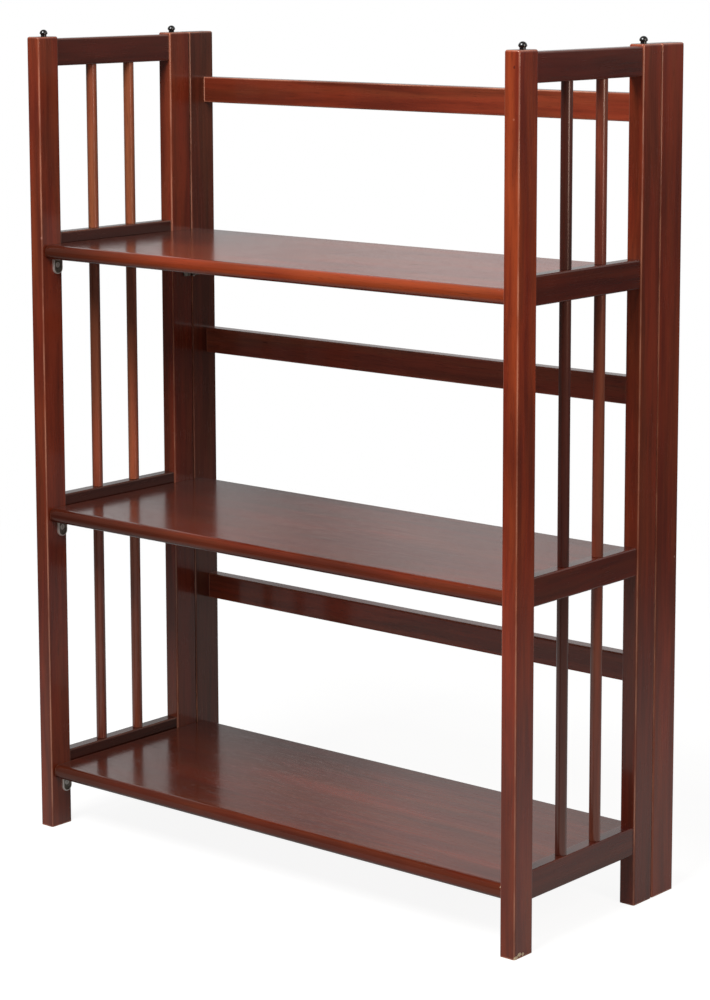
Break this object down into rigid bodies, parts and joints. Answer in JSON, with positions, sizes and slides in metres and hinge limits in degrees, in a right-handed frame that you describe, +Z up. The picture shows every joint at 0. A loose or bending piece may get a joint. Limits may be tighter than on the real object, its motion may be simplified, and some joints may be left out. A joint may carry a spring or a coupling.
{
  "type": "folding bookcase",
  "caption": "Folding wooden bookcase: slatted side frames hinged to a back frame, with shelves that swing up on pivots and rest on metal brackets; pegs on top for stacking.",
  "frame": {"origin": "on the floor, under the middle of the bookcase's width and depth", "axes": "+Z up the posts, +X to the right seen from the front, +Y from the open front to the back"},
  "size_m": [0.71, 0.293, 0.948],
  "materials": {
    "wood": "red-brown mahogany stain under a gloss lacquer",
    "shelf_wood": "the same stain, with a mirror-like lacquer on the shelf tops",
    "dowel_wood": "plain beech",
    "steel": "dull zinc plating",
    "peg_plastic": "glossy black",
    "bush_plastic": "natural nylon"
  },
  "bodies": {
    "root": {"back_post_left": "wood", "back_post_right": "wood", "back_rail_lower": "wood", "back_rail_middle": "wood", "back_rail_upper": "wood", "front_post_left": "wood", "front_post_right": "wood", "hinge_lower_back_leaf_left": "steel", "hinge_lower_back_leaf_right": "steel", "hinge_lower_side_leaf_left": "steel", "hinge_lower_side_leaf_right": "steel", "hinge_middle_back_leaf_left": "steel", "hinge_middle_back_leaf_right": "steel", "hinge_middle_side_leaf_left": "steel", "hinge_middle_side_leaf_right": "steel", "hinge_pins": "steel", "hinge_upper_back_leaf_left": "steel", "hinge_upper_back_leaf_right": "steel", "hinge_upper_side_leaf_left": "steel", "hinge_upper_side_leaf_right": "steel", "joint_dowels": "dowel_wood", "lower_rail_left": "wood", "lower_rail_right": "wood", "middle_rail_left": "wood", "middle_rail_right": "wood", "pivot_pins": "steel", "rear_post_left": "wood", "rear_post_right": "wood", "shelf_brackets_lower": "steel", "shelf_brackets_middle": "steel", "shelf_brackets_upper": "steel", "spindle_lower_front_left": "wood", "spindle_lower_front_right": "wood", "spindle_lower_rear_left": "wood", "spindle_lower_rear_right": "wood", "spindle_middle_front_left": "wood", "spindle_middle_front_right": "wood", "spindle_middle_rear_left": "wood", "spindle_middle_rear_right": "wood", "spindle_upper_front_left": "wood", "spindle_upper_front_right": "wood", "spindle_upper_rear_left": "wood", "spindle_upper_rear_right": "wood", "stacking_peg_front_left": "peg_plastic", "stacking_peg_front_right": "peg_plastic", "stacking_peg_rear_left": "peg_plastic", "stacking_peg_rear_right": "peg_plastic", "top_rail_left": "wood", "top_rail_right": "wood", "upper_rail_left": "wood", "upper_rail_right": "wood", "wood_screws": "steel"},
    "shelf_lower": {"shelf_lower": "shelf_wood", "pivot_bushes_lower": "bush_plastic"},
    "shelf_middle": {"shelf_middle": "shelf_wood", "pivot_bushes_middle": "bush_plastic"},
    "shelf_upper": {"shelf_upper": "shelf_wood", "pivot_bushes_upper": "bush_plastic"}
  },
  "joints": [
    {"name": "lower_shelf_fold", "type": "hinge", "parent": "root", "child": "shelf_lower", "pos_m": [0, 0.11425, 0.06725], "axis": [-1, 0, 0], "range_deg": [0, 90]},
    {"name": "middle_shelf_fold", "type": "hinge", "parent": "root", "child": "shelf_middle", "pos_m": [0, 0.11425, 0.37925], "axis": [-1, 0, 0], "range_deg": [0, 90]},
    {"name": "upper_shelf_fold", "type": "hinge", "parent": "root", "child": "shelf_upper", "pos_m": [0, 0.11425, 0.69125], "axis": [-1, 0, 0], "range_deg": [0, 90]}
  ]
}
